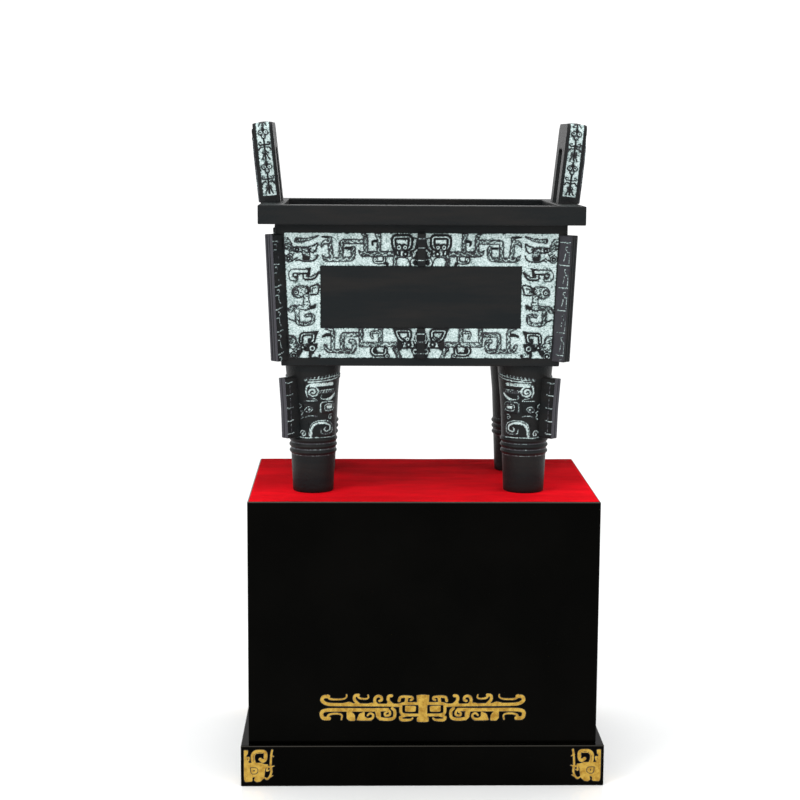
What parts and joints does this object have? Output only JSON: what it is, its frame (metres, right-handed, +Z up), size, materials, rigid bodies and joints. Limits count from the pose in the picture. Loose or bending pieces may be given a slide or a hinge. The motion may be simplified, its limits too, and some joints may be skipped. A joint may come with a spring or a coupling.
{
  "type": "bronze ding vessel",
  "caption": "Rectangular four-legged bronze vessel with upright ears, ribs and relief bands, on a cloth-topped lacquered plinth.",
  "frame": {"origin": "middle of the plinth's underside, which rests on the floor", "axes": "+Z up, +X along the long sides, the front faces -Y"},
  "size_m": [0.63, 0.44, 1.1425],
  "materials": {
    "bronze": "dark patinated bronze with pale green-blue patina in the relief",
    "velvet": "matt pile",
    "lacquer": "high gloss black lacquer with gold painted motifs"
  },
  "bodies": {
    "root": {"ding_vessel": "bronze", "velvet_cover": "velvet", "plinth_box": "lacquer", "plinth_base": "lacquer"}
  },
  "joints": []
}
